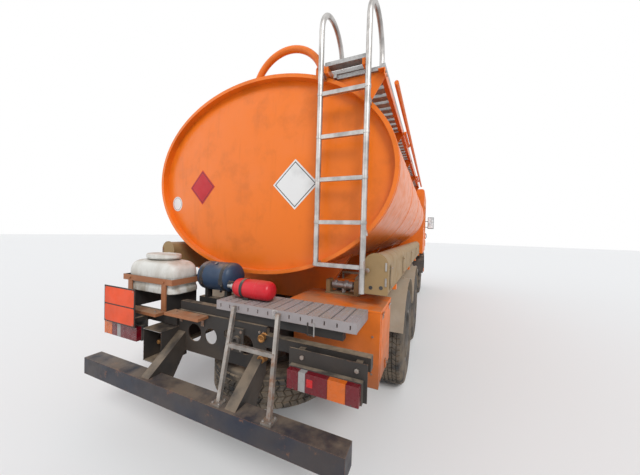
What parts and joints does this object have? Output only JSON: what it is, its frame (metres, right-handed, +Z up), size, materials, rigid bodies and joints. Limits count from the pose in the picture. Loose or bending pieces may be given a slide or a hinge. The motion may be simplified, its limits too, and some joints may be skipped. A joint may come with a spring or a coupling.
{
  "type": "three-axle fuel tanker truck",
  "caption": "Forward-control road tanker with an elliptical tank, roof walkway with folding handrail, rear ladder, platform and lamps.",
  "frame": {"origin": "on the ground under the middle of the overall length and width, the truck parked on its wheels", "axes": "the truck faces -Y, +X is its left side, +Z is up"},
  "size_m": [2.94, 8.3, 3.4409],
  "materials": {
    "tank_orange": "orange gloss paint, sun-faded and dusty",
    "galvanised": "dull galvanised steel",
    "ladder_steel": "bright round steel tube",
    "chassis_paint": "matt dark paint with road dirt",
    "bar_paint": "worn blue-black paint, rust at its edges",
    "orange_paint": "faded orange paint, dirty and chipped",
    "red_paint": "red paint, satin",
    "blue_paint": "dark blue paint, dusty",
    "grip_planks": "worn pinkish grey grip planks",
    "bare_steel": "rusty bare steel",
    "khaki_paint": "khaki paint, dusty",
    "black_plastic": "matt black",
    "beige_plastic": "sun-bleached plastic",
    "lamp_plastic": "lens plastic",
    "white_plastic": "milky polyethylene",
    "wheel_steel": "grey wheel paint with rust",
    "tyre_rubber": "dusty black rubber",
    "cast_iron": "dark cast iron",
    "cab_glass": "clear",
    "seat_fabric": "woven seat cloth"
  },
  "bodies": {
    "chassis": {"frame_rails": "chassis_paint", "underrun_bar": "bar_paint", "rear_platform": "grip_planks", "lower_ladder": "bare_steel", "rear_carriers": "chassis_paint", "lamps": "lamp_plastic", "wash_tank": "white_plastic", "rear_air_tank": "blue_paint", "extinguisher": "red_paint", "rear_locker": "orange_paint", "spare_wheel": "tyre_rubber", "tank_shell": "tank_orange", "tank_ladder": "ladder_steel", "walkway": "galvanised", "tank_fittings": "tank_orange", "hose_cases": "khaki_paint", "tank_saddles": "tank_orange", "drive_axles": "cast_iron", "engine": "cast_iron", "front_axle": "cast_iron", "mudguards": "beige_plastic", "cab_steps": "black_plastic", "fuel_tank": "galvanised", "battery_box": "black_plastic", "discharge_pipes": "galvanised", "side_guards": "galvanised", "bumper": "orange_paint"},
    "cab": {"cab_body": "orange_paint", "cab_roof": "orange_paint", "cab_front": "orange_paint", "cab_glass": "cab_glass", "seats": "seat_fabric", "dashboard": "black_plastic", "mirrors": "black_plastic"},
    "door_left": {"door_left": "orange_paint", "door_glass_left": "cab_glass"},
    "door_right": {"door_right": "orange_paint", "door_glass_right": "cab_glass"},
    "steering_wheel": {"steering_wheel": "black_plastic"},
    "knuckle_left": {"knuckle_left": "cast_iron"},
    "knuckle_right": {"knuckle_right": "cast_iron"},
    "tie_rod": {"tie_rod": "cast_iron"},
    "handrail": {"handrail": "orange_paint"},
    "handrail_post_rear": {"handrail_post_rear": "orange_paint"},
    "handrail_post_front": {"handrail_post_front": "orange_paint"},
    "manhole_lid_rear": {"manhole_lid_rear": "galvanised"},
    "manhole_lid_front": {"manhole_lid_front": "galvanised"},
    "wheels_front_left": {"wheel_front_left": "wheel_steel", "tyre_front_left": "tyre_rubber"},
    "wheels_front_right": {"wheel_front_right": "wheel_steel", "tyre_front_right": "tyre_rubber"},
    "wheels_middle_left": {"wheel_middle_left": "wheel_steel", "tyre_middle_left": "tyre_rubber"},
    "wheels_middle_right": {"wheel_middle_right": "wheel_steel", "tyre_middle_right": "tyre_rubber"},
    "wheels_rear_left": {"wheel_rear_left": "wheel_steel", "tyre_rear_left": "tyre_rubber"},
    "wheels_rear_right": {"wheel_rear_right": "wheel_steel", "tyre_rear_right": "tyre_rubber"}
  },
  "joints": [
    {"name": "roll_front_left", "type": "hinge", "parent": "knuckle_left", "child": "wheels_front_left", "pos_m": [1.035, -2.83, 0.525], "axis": [1, 0, 0], "continuous": true},
    {"name": "roll_front_right", "type": "hinge", "parent": "knuckle_right", "child": "wheels_front_right", "pos_m": [-1.035, -2.83, 0.525], "axis": [1, 0, 0], "continuous": true},
    {"name": "roll_middle_left", "type": "hinge", "parent": "chassis", "child": "wheels_middle_left", "pos_m": [0.9475, 0.86, 0.525], "axis": [1, 0, 0], "continuous": true},
    {"name": "roll_middle_right", "type": "hinge", "parent": "chassis", "child": "wheels_middle_right", "pos_m": [-0.9475, 0.86, 0.525], "axis": [1, 0, 0], "continuous": true},
    {"name": "roll_rear_left", "type": "hinge", "parent": "chassis", "child": "wheels_rear_left", "pos_m": [0.9475, 2.18, 0.525], "axis": [1, 0, 0], "continuous": true},
    {"name": "roll_rear_right", "type": "hinge", "parent": "chassis", "child": "wheels_rear_right", "pos_m": [-0.9475, 2.18, 0.525], "axis": [1, 0, 0], "continuous": true},
    {"name": "steer_left", "type": "hinge", "parent": "chassis", "child": "knuckle_left", "pos_m": [0.85, -2.83, 0.525], "axis": [0, 0, 1], "range_deg": [-35, 35]},
    {"name": "steer_right", "type": "hinge", "parent": "chassis", "child": "knuckle_right", "pos_m": [-0.85, -2.83, 0.525], "axis": [0, 0, 1], "range_deg": [-35, 35]},
    {"name": "tie_rod_turn", "type": "hinge", "parent": "knuckle_left", "child": "tie_rod", "pos_m": [0.85, -2.63, 0.46], "axis": [0, 0, 1], "range_deg": [-35, 35]},
    {"name": "steering_wheel_turn", "type": "hinge", "parent": "cab", "child": "steering_wheel", "pos_m": [0.65, -3.48, 1.79], "axis": [0, 0.5549, 0.8319], "range_deg": [-630, 630]},
    {"name": "cab_tilt", "type": "hinge", "parent": "chassis", "child": "cab", "pos_m": [0, -3.98, 0.92], "axis": [1, 0, 0], "range_deg": [0, 50]},
    {"name": "door_left_swing", "type": "hinge", "parent": "cab", "child": "door_left", "pos_m": [1.23, -3.854, 1.9], "axis": [0, 0, -1], "range_deg": [0, 70]},
    {"name": "door_right_swing", "type": "hinge", "parent": "cab", "child": "door_right", "pos_m": [-1.23, -3.854, 1.9], "axis": [0, 0, 1], "range_deg": [0, 70]},
    {"name": "lid_rear", "type": "hinge", "parent": "chassis", "child": "manhole_lid_rear", "pos_m": [0.12, 2.192, 3.098], "axis": [-1, 0, 0], "range_deg": [0, 105]},
    {"name": "lid_front", "type": "hinge", "parent": "chassis", "child": "manhole_lid_front", "pos_m": [0.12, -0.008, 3.098], "axis": [-1, 0, 0], "range_deg": [0, 105]},
    {"name": "handrail_fold", "type": "hinge", "parent": "chassis", "child": "handrail_post_rear", "pos_m": [-1.13, 2.2, 2.83], "axis": [-1, 0, 0], "range_deg": [0, 90]},
    {"name": "handrail_post_front_fold", "type": "hinge", "parent": "chassis", "child": "handrail_post_front", "pos_m": [-1.13, -0.2, 2.83], "axis": [-1, 0, 0], "range_deg": [0, 90]},
    {"name": "handrail_level", "type": "hinge", "parent": "handrail_post_rear", "child": "handrail", "pos_m": [-1.13, 1.75, 2.83], "axis": [-1, 0, 0], "range_deg": [-90, 0]}
  ],
  "couplings": [
    {"joint": "steer_right", "follows": "steer_left", "ratio": 1},
    {"joint": "tie_rod_turn", "follows": "steer_left", "ratio": -1},
    {"joint": "steering_wheel_turn", "follows": "steer_left", "ratio": 18},
    {"joint": "handrail_post_front_fold", "follows": "handrail_fold", "ratio": 1},
    {"joint": "handrail_level", "follows": "handrail_fold", "ratio": -1}
  ]
}
